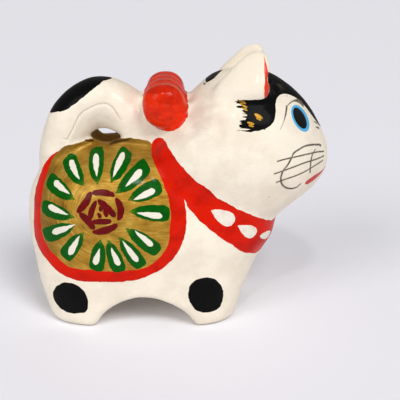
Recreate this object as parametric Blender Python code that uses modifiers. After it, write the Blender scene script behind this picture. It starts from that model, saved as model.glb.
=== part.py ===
"""A papier-mache dog: a standing toy dog whose tail arches forward over its back to a bow at the nape.

The dog is one moulded shell of pasted paper, closed all round, so it is one solid. Its form is built
from rounded lofts (trunk with legs, head, tail, bow and ears), fused by a voxel remesh and smoothed
as the layers of paper and gesso smooth the real one. An arch and a gap cut the legs apart, a hole
parts the tail from the back, and a hollow opens each ear. The paint is colour only and isn't raised.

Axes: +X towards the muzzle, +Y towards the dog's left side, +Z up. The origin is on the ground under
the middle of the dog. Sizes are in metres.
"""
import math

import bmesh
import bpy
from mathutils import Matrix, Vector

# Driving dimensions
DOG_LENGTH = 0.1394
DOG_HEIGHT = 0.1200
DOG_WIDTH = 0.0750

TAIL_WIDTH = 0.0270
TAIL_THICKNESS = 0.0236

BOW_LENGTH = 0.0500
BOW_HEIGHT = 0.0202
BOW_DEPTH = 0.0190
BOW_PLEAT_DEPTH = 0.0013
BOW_END_ROUNDING = 0.0063
BOW_TURN = math.radians(3.0)

EAR_WIDTH = 0.0185
EAR_WALL = 0.0026
EAR_HOLLOW_DEPTH = 0.0070
EAR_HOLLOW_DROP = 0.0008

BELLY_ARCH_SPAN = 0.0440
BELLY_ARCH_HEIGHT = 0.0150
LEG_GAP_WIDTH = 0.0190
LEG_GAP_HEIGHT = 0.0120
TAIL_HOLE_WIDTH = 0.0155
TAIL_HOLE_HEIGHT = 0.0072

# Fineness of the solid
FUSE_VOXEL = DOG_HEIGHT / 100.0
BLEND_STEPS = 36
LEG_STEPS = 10
SMOOTH_STEPS = 4
TRIANGLE_TARGET = 9300
RING_POINTS = 48
RINGS_PER_SPAN = 4
RINGS_PER_PLEAT = 12

OBJECT_NAME = "papier_mache_dog"
NODE_NAME = "dog"

# Trunk and legs: level rings from the soles to the back. Each is the height, the rear and the front in
# percent of the height and length, the half width in percent of half the width, and its squareness.
TRUNK_RINGS = (
    (-0.4, 9.9, 71.0, 88.0, 4.4),
    (0.8, 9.4, 71.4, 89.0, 4.4),
    (4.0, 8.4, 71.9, 90.5, 4.2),
    (8.0, 7.0, 72.8, 91.5, 3.8),
    (13.0, 5.6, 74.8, 92.5, 3.4),
    (19.0, 4.2, 77.2, 94.5, 3.0),
    (25.0, 3.2, 79.8, 97.0, 2.7),
    (29.5, 2.6, 82.8, 99.0, 2.5),
    (34.0, 2.0, 84.4, 100.0, 2.4),
    (43.0, 2.3, 81.6, 99.0, 2.4),
    (51.0, 4.2, 76.0, 93.0, 2.3),
    (57.0, 8.2, 69.0, 83.0, 2.2),
    (61.5, 13.6, 61.5, 69.0, 2.1),
    (64.5, 18.0, 54.0, 48.0, 2.0),
    (66.0, 26.0, 44.0, 22.0, 2.0),
)

# How boxy the rounded rings of each form are: 2 is an ellipse, and more is boxier
HEAD_SQUARENESS = 2.1
TAIL_SQUARENESS = 2.3
BOW_SQUARENESS = 2.2
EAR_SQUARENESS = 2.6
BELLY_ARCH_SQUARENESS = 1.65
ROUND = 2.0

# Head: upright rings from the nape to the muzzle. Each is the place along the length, the bottom and
# the top in percent of the height, and the half width in percent of half the width.
HEAD_RINGS = (
    (40.0, 52.0, 63.0, 50.0),
    (44.0, 48.0, 67.0, 66.0),
    (48.0, 45.0, 72.6, 77.0),
    (51.0, 43.0, 76.6, 82.5),
    (54.0, 41.5, 80.4, 86.0),
    (58.0, 39.0, 85.4, 89.0),
    (63.0, 37.0, 90.2, 91.5),
    (68.0, 35.5, 92.4, 92.5),
    (74.0, 34.5, 93.0, 92.0),
    (80.0, 35.0, 91.5, 88.0),
    (85.0, 38.0, 88.6, 81.5),
    (89.5, 41.8, 84.6, 72.0),
    (93.2, 45.2, 80.1, 61.0),
    (96.6, 48.8, 74.4, 47.5),
    (99.4, 52.6, 68.4, 31.0),
    (100.8, 56.4, 63.0, 13.0),
)

# Tail: a path in the middle plane from the rump, over the back and down to the nape, in percent of the
# length and height, with the thickness and width there in percent of the tail's own.
TAIL_PATH = (
    (15.7, 56.6, 112.0, 118.0),
    (16.0, 63.4, 107.0, 114.0),
    (17.9, 71.0, 102.0, 108.0),
    (21.8, 77.2, 99.0, 104.0),
    (27.3, 80.4, 96.0, 100.0),
    (33.0, 77.9, 96.0, 100.0),
    (38.0, 72.4, 96.0, 104.0),
    (44.0, 67.8, 103.0, 120.0),
    (53.4, 66.0, 125.0, 150.0),
)

# Bow: a pleated roll across the nape, its middle in percent of the length and height, and the size of
# its end faces as a share of its full size
BOW_CENTRE = (48.0, 81.2)
BOW_PLEATS = 4
BOW_END_SHARE = 0.45

# Ears: level rings from the ledge below the hollow to the tip, with the length in percent of the dog's
# length and the width in percent of the ear's own.
EAR_RINGS = (
    (85.0, 71.8, 8.4, 96.0),
    (86.8, 71.9, 8.5, 100.0),
    (89.6, 72.7, 7.6, 95.0),
    (92.8, 74.1, 6.3, 80.0),
    (96.0, 75.2, 4.8, 60.0),
    (98.8, 75.8, 3.0, 38.0),
    (100.2, 75.9, 1.2, 15.0),
)
EAR_SPREAD_LOW = 55.0
EAR_SPREAD_TIP = 42.0
EAR_HOLLOW_BOTTOM = 89.0
EAR_BACK_SHARE = 0.36

# Places of the arch between the fore and hind legs and of the hole under the tail
BELLY_ARCH_PLACE = 41.9
TAIL_HOLE_PLACE = (29.4, 68.4)

# Colours: base colour, roughness and metallic value
SHELL_FINISH = ((0.88, 0.83, 0.73, 1.0), 0.55, 0.0)


def length_at(percent):
    """Place along the dog, from the rump at 0 to the muzzle at 100."""
    return (percent / 100.0 - 0.5) * DOG_LENGTH


def height_at(percent):
    return percent / 100.0 * DOG_HEIGHT


def side_at(percent):
    """Distance from the middle plane, in percent of half the width."""
    return percent / 100.0 * DOG_WIDTH / 2.0


def remove_everything():
    for thing in list(bpy.data.objects):
        bpy.data.objects.remove(thing, do_unlink=True)


def new_collection(name):
    collection = bpy.data.collections.new(name)
    bpy.context.scene.collection.children.link(collection)
    return collection


def finish_material(name, finish):
    colour, roughness, metallic = finish
    material = bpy.data.materials.new(name)
    material.use_nodes = True
    shader = material.node_tree.nodes["Principled BSDF"]
    shader.inputs["Base Color"].default_value = colour
    shader.inputs["Roughness"].default_value = roughness
    shader.inputs["Metallic"].default_value = metallic
    return material


def between(before, start, end, after, share):
    """One value on a smooth curve through four stations, between the two in the middle."""
    a = 2.0 * start
    b = end - before
    c = 2.0 * before - 5.0 * start + 4.0 * end - after
    d = -before + 3.0 * start - 3.0 * end + after
    return 0.5 * (a + b * share + c * share ** 2 + d * share ** 3)


def smooth_rows(rows, steps=RINGS_PER_SPAN):
    """The rows of a table with smoothly worked out rows between them."""
    result = []
    last = len(rows) - 1
    for index in range(last):
        span = [rows[max(index - 1, 0)], rows[index], rows[index + 1], rows[min(index + 2, last)]]
        for step in range(steps):
            share = step / steps
            result.append(tuple(between(*values, share) for values in zip(*span)))
    result.append(tuple(rows[last]))
    return result


def ring(centre, across, up, half_across, half_up, squareness=ROUND):
    """Points of a rounded ring: an ellipse at squareness 2, and boxier above that."""
    points = []
    for index in range(RING_POINTS):
        angle = 2.0 * math.pi * index / RING_POINTS
        cosine = math.cos(angle)
        sine = math.sin(angle)
        u = math.copysign(abs(cosine) ** (2.0 / squareness), cosine)
        v = math.copysign(abs(sine) ** (2.0 / squareness), sine)
        points.append(centre + across * (u * half_across) + up * (v * half_up))
    return points


def add_loft(shape, rings):
    """Adds a closed skin over a row of rings to a bmesh."""
    loops = [[shape.verts.new(point) for point in points] for points in rings]
    for lower, upper in zip(loops, loops[1:]):
        for index in range(RING_POINTS):
            after = (index + 1) % RING_POINTS
            shape.faces.new((lower[index], lower[after], upper[after], upper[index]))
    shape.faces.new(list(reversed(loops[0])))
    shape.faces.new(loops[-1])


def new_object(name, shape, collection):
    bmesh.ops.recalc_face_normals(shape, faces=shape.faces)
    mesh = bpy.data.meshes.new(name)
    shape.to_mesh(mesh)
    shape.free()
    thing = bpy.data.objects.new(name, mesh)
    collection.objects.link(thing)
    return thing


X_AXIS = Vector((1.0, 0.0, 0.0))
Y_AXIS = Vector((0.0, 1.0, 0.0))
Z_AXIS = Vector((0.0, 0.0, 1.0))


def add_trunk(shape):
    rings = []
    for height, rear, front, half_width, squareness in smooth_rows(TRUNK_RINGS):
        centre = Vector((length_at((rear + front) / 2.0), 0.0, height_at(height)))
        half_length = (length_at(front) - length_at(rear)) / 2.0
        rings.append(ring(centre, X_AXIS, Y_AXIS, half_length, side_at(half_width), squareness))
    add_loft(shape, rings)


def add_head(shape):
    rings = []
    for place, bottom, top, half_width in smooth_rows(HEAD_RINGS):
        centre = Vector((length_at(place), 0.0, height_at((bottom + top) / 2.0)))
        half_height = (height_at(top) - height_at(bottom)) / 2.0
        rings.append(ring(centre, Y_AXIS, Z_AXIS, side_at(half_width), half_height, HEAD_SQUARENESS))
    add_loft(shape, rings)


def add_tail(shape):
    rows = smooth_rows(TAIL_PATH)
    points = [Vector((length_at(row[0]), 0.0, height_at(row[1]))) for row in rows]
    rings = []
    for index, row in enumerate(rows):
        ahead = points[min(index + 1, len(points) - 1)]
        behind = points[max(index - 1, 0)]
        outward = (ahead - behind).normalized().cross(Y_AXIS)
        half_thickness = row[2] / 100.0 * TAIL_THICKNESS / 2.0
        half_width = row[3] / 100.0 * TAIL_WIDTH / 2.0
        rings.append(ring(points[index], Y_AXIS, outward, half_width, half_thickness, TAIL_SQUARENESS))
    add_loft(shape, rings)


def add_bow(shape):
    along = Vector((-math.sin(BOW_TURN), math.cos(BOW_TURN), 0.0))
    middle = Vector((length_at(BOW_CENTRE[0]), 0.0, height_at(BOW_CENTRE[1])))
    rings = []
    steps = BOW_PLEATS * RINGS_PER_PLEAT
    for step in range(steps + 1):
        share = step / steps
        pleat = BOW_PLEAT_DEPTH * 0.5 * (1.0 + math.cos(2.0 * math.pi * BOW_PLEATS * share))
        from_end = min(share, 1.0 - share) * BOW_LENGTH
        to_full = max(1.0 - from_end / BOW_END_ROUNDING, 0.0)
        taper = BOW_END_SHARE + (1.0 - BOW_END_SHARE) * math.sqrt(1.0 - to_full ** 2)
        half_height = BOW_HEIGHT / 2.0 * taper - pleat
        half_depth = BOW_DEPTH / 2.0 * taper - pleat
        centre = middle + along * ((share - 0.5) * BOW_LENGTH)
        forward = along.cross(Z_AXIS)
        rings.append(ring(centre, Z_AXIS, forward, half_height, half_depth, BOW_SQUARENESS))
    add_loft(shape, rings)


def ear_rows():
    """Height, place, half length, distance from the middle plane and half width of each ear ring."""
    lowest = EAR_RINGS[0][0]
    highest = EAR_RINGS[-1][0]
    rows = []
    for height, place, half_length, width in smooth_rows(EAR_RINGS):
        rise = (height - lowest) / (highest - lowest)
        spread = EAR_SPREAD_LOW + (EAR_SPREAD_TIP - EAR_SPREAD_LOW) * rise
        half_width = width / 100.0 * EAR_WIDTH / 2.0
        half_x = half_length / 100.0 * DOG_LENGTH
        rows.append((height_at(height), length_at(place), half_x, side_at(spread), half_width))
    return rows


def add_ear(shape, side):
    """An ear, widest towards its open front and drawn out to a narrow ridge behind."""
    rings = []
    for z, x, half_x, y, half_y in ear_rows():
        points = ring(Vector((x, side * y, z)), X_AXIS, Y_AXIS, half_x, half_y, EAR_SQUARENESS)
        for point in points:
            forward = (point.x - x + half_x) / (2.0 * half_x)
            width = EAR_BACK_SHARE + (1.0 - EAR_BACK_SHARE) * forward
            point.y = side * y + (point.y - side * y) * width
        rings.append(points)
    add_loft(shape, rings)


def add_ear_hollow(shape, side):
    """The cup in the front of an ear, an ear's wall inside its outline, which stops at its front."""
    rings = []
    for z, x, half_x, y, half_y in ear_rows():
        inner_y = half_y - EAR_WALL
        if z < height_at(EAR_HOLLOW_BOTTOM) or inner_y < EAR_WALL / 2.0:
            continue
        front = x + half_x
        depth = EAR_HOLLOW_DEPTH * inner_y / (EAR_WIDTH / 2.0 - EAR_WALL)
        centre = Vector((front, side * y, z - EAR_HOLLOW_DROP))
        points = ring(centre, X_AXIS, Y_AXIS, depth, inner_y)
        for point in points:
            point.x = min(point.x, front + EAR_WALL)
        rings.append(points)
    add_loft(shape, rings)


def add_modifier(thing, kind, name, **settings):
    modifier = thing.modifiers.new(name, kind)
    for setting, value in settings.items():
        setattr(modifier, setting, value)
    return modifier


def make_cutter(name, shape, collection):
    cutter = new_object(name, shape, collection)
    cutter.hide_render = True
    cutter.display_type = "WIRE"
    return cutter


def build_ground_cutter(collection):
    """A block whose top is the ground, which cuts the soles flat."""
    shape = bmesh.new()
    bmesh.ops.create_cube(shape, size=1.0)
    size = Vector((DOG_LENGTH * 2.0, DOG_WIDTH * 2.0, DOG_HEIGHT))
    place = Matrix.Translation((0.0, 0.0, -DOG_HEIGHT / 2.0))
    bmesh.ops.transform(shape, matrix=place @ Matrix.Diagonal(size.to_4d()), verts=shape.verts)
    return make_cutter("ground_cutter", shape, collection)


def build_ear_cutters(collection):
    cutters = []
    for side, name in ((1.0, "left_ear_cutter"), (-1.0, "right_ear_cutter")):
        shape = bmesh.new()
        add_ear_hollow(shape, side)
        cutters.append(make_cutter(name, shape, collection))
    return cutters


def build_leg_cutters(collection):
    """The arch between the fore and hind legs, and the gap between the left and right ones."""
    arch = bmesh.new()
    rings = []
    half_span = BELLY_ARCH_SPAN / 2.0
    for y in (-DOG_WIDTH, 0.0, DOG_WIDTH):
        centre = Vector((length_at(BELLY_ARCH_PLACE), y, 0.0))
        rings.append(ring(centre, X_AXIS, Z_AXIS, half_span, BELLY_ARCH_HEIGHT, BELLY_ARCH_SQUARENESS))
    add_loft(arch, rings)
    gap = bmesh.new()
    rings = []
    for x in (-DOG_LENGTH, 0.0, DOG_LENGTH):
        centre = Vector((x, 0.0, 0.0))
        rings.append(ring(centre, Y_AXIS, Z_AXIS, LEG_GAP_WIDTH / 2.0, LEG_GAP_HEIGHT))
    add_loft(gap, rings)
    arch_cutter = make_cutter("belly_arch_cutter", arch, collection)
    gap_cutter = make_cutter("leg_gap_cutter", gap, collection)
    return [arch_cutter, gap_cutter]


def build_tail_cutter(collection):
    """The hole that runs across between the tail and the back."""
    shape = bmesh.new()
    rings = []
    place, height = TAIL_HOLE_PLACE
    for y in (-TAIL_WIDTH, 0.0, TAIL_WIDTH):
        centre = Vector((length_at(place), y, height_at(height)))
        rings.append(ring(centre, X_AXIS, Z_AXIS, TAIL_HOLE_WIDTH / 2.0, TAIL_HOLE_HEIGHT / 2.0))
    add_loft(shape, rings)
    return make_cutter("tail_hole_cutter", shape, collection)


def evaluated_mesh(thing):
    depsgraph = bpy.context.evaluated_depsgraph_get()
    depsgraph.update()
    return bpy.data.meshes.new_from_object(thing.evaluated_get(depsgraph))


def centre_on_ground(mesh):
    """Moves the mesh so that the origin is on the ground under the middle of its box."""
    xs = [vertex.co.x for vertex in mesh.vertices]
    ys = [vertex.co.y for vertex in mesh.vertices]
    zs = [vertex.co.z for vertex in mesh.vertices]
    middle = Vector(((min(xs) + max(xs)) / 2.0, (min(ys) + max(ys)) / 2.0, min(zs)))
    mesh.transform(Matrix.Translation(-middle))


def fuse(thing, voxel=FUSE_VOXEL):
    """Makes one closed skin of all the bodies in an object."""
    add_modifier(thing, "REMESH", "Fuse", mode="VOXEL", voxel_size=voxel)


def soften(thing, steps):
    add_modifier(thing, "SMOOTH", "Soften", factor=0.5, iterations=steps)


def cut(thing, cutters):
    for cutter in cutters:
        add_modifier(thing, "BOOLEAN", "Cut " + cutter.name, operation="DIFFERENCE", object=cutter)


def take_shape(thing):
    """The evaluated form of an object as a bmesh, with the object removed."""
    shape = bmesh.new()
    shape.from_mesh(evaluated_mesh(thing))
    bpy.data.objects.remove(thing, do_unlink=True)
    return shape


def build_dog():
    parts = new_collection(OBJECT_NAME)
    cutters = new_collection("cutters")

    shape = bmesh.new()
    add_trunk(shape)
    add_head(shape)
    core = new_object("core", shape, parts)
    fuse(core)
    soften(core, BLEND_STEPS)

    shape = take_shape(core)
    add_tail(shape)
    form = new_object("form", shape, parts)
    fuse(form)
    cut(form, build_leg_cutters(cutters))
    fuse(form)
    soften(form, LEG_STEPS)

    shape = take_shape(form)
    for side in (1.0, -1.0):
        add_ear(shape, side)
    add_bow(shape)
    whole = new_object("whole", shape, parts)
    fuse(whole)
    cut(whole, build_ear_cutters(cutters) + [build_tail_cutter(cutters)])
    fuse(whole)
    soften(whole, SMOOTH_STEPS)
    triangles = len(evaluated_mesh(whole).polygons) * 2
    add_modifier(whole, "DECIMATE", "Fewer faces", ratio=min(1.0, TRIANGLE_TARGET / triangles))
    cut(whole, [build_ground_cutter(cutters)])

    mesh = evaluated_mesh(whole)
    bpy.data.objects.remove(whole, do_unlink=True)
    centre_on_ground(mesh)
    mesh.materials.clear()
    mesh.materials.append(finish_material("painted_paper", SHELL_FINISH))
    mesh.name = NODE_NAME
    mesh.shade_smooth()
    dog = bpy.data.objects.new(NODE_NAME, mesh)
    parts.objects.link(dog)
    return dog


def main():
    remove_everything()
    build_dog()


main()
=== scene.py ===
"""The looks of a papier-mache dog: its smooth gessoed shell, the paint on it, and a small studio."""
import math

import bpy
import numpy as np
from bpy.props import FloatProperty, FloatVectorProperty, IntProperty, PointerProperty
from mathutils import Matrix, Vector
from mathutils.bvhtree import BVHTree


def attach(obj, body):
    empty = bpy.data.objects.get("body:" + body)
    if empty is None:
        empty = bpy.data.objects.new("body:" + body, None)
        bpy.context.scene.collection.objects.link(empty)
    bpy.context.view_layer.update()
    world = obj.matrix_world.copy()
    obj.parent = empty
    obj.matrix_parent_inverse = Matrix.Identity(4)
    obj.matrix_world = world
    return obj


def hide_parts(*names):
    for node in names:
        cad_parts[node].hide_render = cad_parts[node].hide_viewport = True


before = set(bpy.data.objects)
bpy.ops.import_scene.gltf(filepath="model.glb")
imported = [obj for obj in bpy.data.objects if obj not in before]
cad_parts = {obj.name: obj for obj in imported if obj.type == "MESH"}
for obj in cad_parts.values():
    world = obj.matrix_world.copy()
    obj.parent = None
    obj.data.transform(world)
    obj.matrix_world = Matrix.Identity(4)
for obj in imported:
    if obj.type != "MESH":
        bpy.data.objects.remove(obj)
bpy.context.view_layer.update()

bl_info = {
    "name": "Papier-mache Dog",
    "version": (1, 0, 0),
    "blender": (4, 5, 0),
    "location": "3D View > Sidebar > Paper Dog",
    "description": "Makes the gessoed shell of a papier-mache dog, paints it and sets a studio round it",
    "category": "Object",
}

NODE = "dog"
MM = 1000.0

# The camera, in the dog's frame: its place, how far it looks down, its turn and roll, and its lens
CAMERA_PLACE = Vector((0.0191, -0.3237, 0.1538))
CAMERA_DIP = math.radians(17.83)
CAMERA_TURN = math.radians(1.5)
CAMERA_ROLL = math.radians(0.45)
LENS_MM = 65.5
SENSOR_MM = 36.0
PHOTO_SIDE = 400
PIXEL_MM = 0.455
INWARD_STEPS = 60

# Shapes traced on the photograph, in its pixels. Each lies on the near flank, and the far one mirrors it.
MIDDLE = (180, 190)

TAIL_LAYER = (
    (67, 139), (72, 130), (76, 121), (82, 112), (90, 107.5), (98, 104), (105, 103), (111, 106),
    (116, 112), (122, 120),
)
# The layer's painted shade, its painted shadow line and its relief, in millimetres: by height over its
# edge, reach along the dog and gap from its middle
LAYER_SHADOW_LINE_HEIGHT = 0.15
LAYER_SHADOW_LINE_FADE = (0.7, 0.1)
LAYER_SHADE_TOP = (3.6, 0.2)
LAYER_SHADE_FOOT = (-0.3, 0.2)
LAYER_STEP_TOP = (0.2, -0.35)
LAYER_STEP_FOOT = (-7.0, -0.5)
LAYER_REACH_MM = (-51.0, -20.0)
LAYER_FADE_MM = (5.0, 6.0)
LAYER_GAP_MM = (7.0, 10.0)
TAIL_LIP_REAR = ((44, 156), (54, 152), (63, 147), (74, 144), (84, 141.5), (92, 137.5), (99, 133))
TAIL_LIP_FRONT = ((116, 133), (125, 138), (135, 138.8), (143, 140), (151, 143))
TAIL_HOLE = ((97, 134), (102, 130), (109, 129), (117, 132), (121, 136), (112, 138), (103, 137))
TAIL_PATCH = (
    (51, 113), (57, 111.5), (62, 111.3), (66, 110), (72, 106), (80, 100), (86, 95), (92, 90),
    (98, 85.5), (104, 80.5), (110, 76.5),
)
TAIL_PATCH_RISE_MM = (4.0, 9.0)
TAIL_PATCH_FRONT_MM = 3.5

FLOWER_MIDDLE = (102, 212)
CLOTH = (
    (150, 142), (151, 150), (153, 160), (156, 167), (160, 176), (164, 186), (168, 196), (170, 206),
    (171, 215), (170, 226), (169, 240), (166, 249), (160, 257), (152, 264), (140, 269), (120, 271),
    (100, 271), (80, 269), (66, 265), (57, 257), (48, 247), (43, 236), (41, 225), (41, 205),
    (42, 195), (45, 180), (50, 165), (55, 155), (63, 147), (74, 144), (84, 141), (90, 138),
    (127, 138), (135, 138.5), (143, 140),
)
# The cloth's top where it runs into the hole under the tail, in millimetres
CLOTH_TOP_MM = ((-37.0, 80.8), (-34.5, 81.6), (-31.0, 82.2), (-27.5, 82.2), (-24.8, 82.0))
CLOTH_BORDER = (
    (150, 143), (160, 152), (172, 170), (181, 187), (184, 199), (186, 210), (186.5, 222),
    (185, 235), (181, 246), (176, 255), (170, 262), (162, 269), (150, 275), (138, 279.5),
    (125, 281.5), (105, 282), (85, 281.5), (75, 280), (65, 276), (55, 269), (47, 260), (40, 250),
    (36, 240), (34, 228), (34, 215), (34.5, 200), (36, 188), (39, 178), (43, 167), (48, 159),
    (54, 153.5), (63, 149), (74, 147), (84, 146), (92, 145), (99, 145), (108, 145),
    (116, 145), (125, 145), (135, 144), (143, 143),
)
# Here and below, a brush stroke is its two ends, its half width and how far it bows outwards.
# Painted shadow in the corners beside the hole, and how far it stays off the dog's middle
HOLE_CORNER_SHADOWS = (((85, 140), (100, 133), 1.2, 0.0), ((115.5, 132.8), (130, 139), 1.3, 0.0))
HOLE_SHADOW_GAP_MM = 5.0
# The floor of the hole, in millimetres: its rear and front ends, its half width and its height
HOLE_FLOOR_ENDS = (-39.5, -24.0)
HOLE_FLOOR_HALF_WIDTH = 8.0
HOLE_FLOOR_HEIGHTS = (78.0, 82.5)
# Painted shade: the gold darkens towards its top, and by its reach from the flower towards the rear.
# Streaks turn round the flower in arcs, and run level behind it.
GOLD_TOP_SHADE_HEIGHTS = (68.0, 80.0)
GOLD_REAR_SHADE_REACH = (-12.0, -30.0)
GOLD_SWEEP_REACH = (-14.0, 6.0)
ARC_WAVES = 2.4
ARC_TURNS = 1.6
ARC_LEVEL = 3.7
# Painted shade: the border darkens towards its foot.
BORDER_FOOT_SHADE_HEIGHTS = (30.0, 18.0)
COLLAR_TOP = (
    (151, 147), (153.5, 141), (156.5, 138.4), (160, 137.6), (165, 141), (168, 147), (172, 153),
    (178, 162), (185, 170), (190, 175), (197, 182), (204, 186), (210, 190.5), (217, 197.5),
    (225, 202), (235, 207.5), (245, 212), (254, 216), (262, 218.5), (272, 220),
)
COLLAR_FOOT = (
    (150.5, 149), (156, 156), (164, 178), (174, 192), (184, 199), (188, 207), (193, 213), (200, 221),
    (208, 228), (217, 235), (225, 241), (232, 245), (237, 248.5), (241, 251), (245, 252.5),
    (250, 253), (256, 253),
)
COLLAR_PETALS = (
    ((211, 210), (234.5, 222.5), 6.6, 0.0), ((237.5, 225.5), (256, 234.5), 5.6, 0.0),
    ((259.5, 236), (270, 233.5), 4.4, 0.0),
)

# Green petals: the outer and inner end, then the outer and inner end of the white core
FLOWER_PETALS = (
    ((97, 147), (98, 187), (96, 153), (97, 177)),
    ((128, 149), (110, 185), (124, 152), (112.5, 178)),
    ((148, 164), (113, 196), (142, 170), (125, 187)),
    ((161, 185), (126, 201), (155, 190), (133, 200)),
    ((170, 214), (126, 211), (163, 216.5), (136, 213)),
    ((159, 252), (123, 226), (153, 246), (134, 230)),
    ((142, 267), (117, 234), (138, 262), (122, 240)),
    ((120, 272), (107, 237), (119, 266), (111, 247)),
    ((96, 271), (101, 236), (95, 265), (99.5, 248)),
    ((64, 258), (85, 230), (69, 255), (80, 235)),
    ((44, 236), (78, 223), (52, 233), (76, 224)),
    ((42, 206), (77, 218), (48, 206), (69, 215)),
    ((48, 178), (77, 201), (54, 181), (70, 194.5)),
    ((66, 157), (86, 188), (70, 160), (80, 180)),
)
PETAL_HALF_WIDTH = 7.4
CORE_HALF_WIDTH = 2.9
DRY_SHARES = (0.34, 0.02)
DRY_BITE_MM = 1.6

ROSE_STROKES = (
    ((91.5, 193), (115, 195.5), 2.9, 1.4),
    ((91.5, 191.5), (77, 213), 3.3, 1.2),
    ((79.5, 213), (94.5, 229.5), 3.7, 1.0),
    ((92, 232.5), (118, 224.5), 3.5, -1.8),
    ((116, 197.5), (118.5, 221), 3.5, 3.2),
    ((96, 200.5), (89.5, 221), 2.8, -0.8),
    ((97.5, 200), (115.5, 217), 3.3, 0.8),
    ((91.5, 222), (112, 221.3), 3.0, 0.0),
)
ROSE_SEEDS = (
    ((99.5, 206), (102, 212), 2.0, 0.0), ((97.3, 212), (100.7, 218.2), 2.0, 0.0),
    ((103.5, 209), (107.2, 217), 2.0, 0.0),
)

HIND_SPOT_MIDDLE = (70, 298)
HIND_SPOT = (
    (53.3, 297), (54.5, 289), (59, 284.5), (68, 282.5), (76, 284.5), (83, 290), (87, 297),
    (88, 305), (86, 311.5), (79, 313), (70, 313), (63, 310), (56.5, 304),
)
FRONT_SPOT_MIDDLE = (206, 294.5)
FRONT_SPOT = (
    (188.5, 294), (190, 286), (196, 280), (205, 277.5), (214, 279), (220.5, 285), (223.5, 293),
    (222, 302), (217, 309.5), (207, 312.5), (197, 310.5), (190.5, 303),
)

# The lower edge of the black on the brow, seen from the front: distance from the middle and height
BROW_EDGE_MM = (
    (-4.0, 84.9), (0.0, 84.8), (4.0, 85.3), (7.0, 86.8), (8.9, 88.8), (9.8, 91.0), (10.3, 93.6),
    (10.7, 96.2), (11.4, 98.6), (12.7, 100.4), (14.4, 101.6), (16.6, 102.0), (19.6, 101.3), (21.9, 100.0),
)
CROWN_REAR_MM = 40.2
# The black strip over the crown, in millimetres: it narrows at a waist
CROWN_STRIP_HALF_WIDTH = 9.0
CROWN_STRIP_NARROWING = 11.0
CROWN_STRIP_REAR = 12.8
CROWN_STRIP_FOOT = 96.0
CROWN_STRIP_WANDER = 1.6
CROWN_STRIP_WAIST = ((16.5, 23.0), (25.5, 29.0))
NAPE_FEATHER_LENGTH = 5.0
CHEEK_FEATHER_REACH = (1.0, 8.0)
CHEEK_FEATHER_LENGTH = 16.0
# Heights where the black cap takes painted sheen and wear
WEAR_AND_SHEEN_HEIGHTS = (101.0, 106.0)
CHEEK_LOBE_MIDDLE = (259, 112)
CHEEK_LOBE = (
    (275.5, 94), (276, 101), (275.5, 108), (275.5, 115), (274, 121), (270, 126), (264, 129.5),
    (257, 131), (250, 130.5), (243, 129), (239, 127), (243, 121), (245.5, 113), (241, 106),
    (239, 98), (247, 99), (256, 98.5), (266, 94),
)
# Dry gold strokes over the black of the cheek
GOLD_TOUCHES = (
    ((238.5, 100.3), (246.5, 103.6), 0.9, 0.0), ((239.5, 103), (247.5, 107.5), 0.9, 0.0),
    ((241, 107), (248, 111), 0.8, 0.0), ((254.5, 114), (263, 118.6), 1.3, 0.0),
    ((256, 117.6), (261, 120.2), 0.9, 0.0), ((246.5, 122.3), (254.5, 124.2), 1.1, 0.0),
    ((248, 125), (254, 126.2), 0.8, 0.0),
)

EYE = ((300.5, 118.7), (306.2, 131.6), (307.2, 116.0))
PUPIL = ((300.0, 118.3), (304.8, 128.6), (304.8, 116.4))
EYEBROW = (((279.6, 130.5), (286.8, 105), 0.95, -1.2), ((286.2, 107), (303.8, 106), 1.55, 4.8))
# Short strokes beside the bridge of the nose, drawn from the front
BRIDGE_TICKS = (((313.5, 121), (319, 125.5)), ((315.5, 127), (320, 128.5)))
TICK_HALF_WIDTH = 1.1
TICK_REAR_MM = 45.0
MUZZLE_LOOP = (
    (321, 146), (316, 144.7), (310, 145), (304, 146.5), (299, 149.5), (294, 153), (291, 159),
    (288, 164.5), (284, 169.5), (281.5, 175), (281, 181), (283, 185.5), (287, 188), (292, 188.5),
    (297, 187), (301, 184),
)
MUZZLE_LOOP_MIDDLE = (300, 170)
WHISKERS = (
    ((277, 161.5), (286, 159), (295, 157), (308, 154), (324, 151)),
    ((274, 174), (284, 170.5), (295, 166.5), (307, 162), (318, 158.5), (324, 155.5)),
    ((276, 182.5), (286, 179), (295, 176), (305, 171.5), (315, 165.5), (323, 160)),
)
WHISKER_CROSSING = ((315.5, 149), (312, 156), (310.5, 165), (310, 173))
FACE_LINE_GAP_MM = 9.5
LINE_HALF_WIDTH = 0.72
LOOP_HALF_WIDTH = 0.9
MOUTH = ((305, 184), (322.5, 170.5))
MOUTH_HALF_WIDTH = 2.9
MOUTH_REACH_MM = 3.6
NOSE_ENDS = ((324.5, 145.5), (326, 151.5))
NOSE_MARGIN_MM = 0.3
NOSE_HALF_WIDTH_MM = 6.5
NOSE_DEPTH_MM = 6.0

BOW_SMEAR = ((186.8, 111.5), (186.4, 118.0), 1.2, 0.0)
STAIN_MIDDLE = (196, 118)
STAIN_FADE_MM = (-6.0, 9.0)
STAIN = ((160, 128), (176, 140), (205, 148), (228, 125), (225, 96), (200, 95), (186, 100))

# Solid regions of the shell, in millimetres: the bow's axis and radius, the crown of the head, and how
# far an ear stands off it
BOW_AXIS_PLACE = (-4.5, 97.4)
BOW_SLANT = math.tan(math.radians(3.0))
BOW_HALF_DEPTH = 9.9
BOW_HALF_HEIGHT = 10.5
BOW_REACH = 26.0
BOW_PLEAT_LENGTH = 12.5
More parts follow.
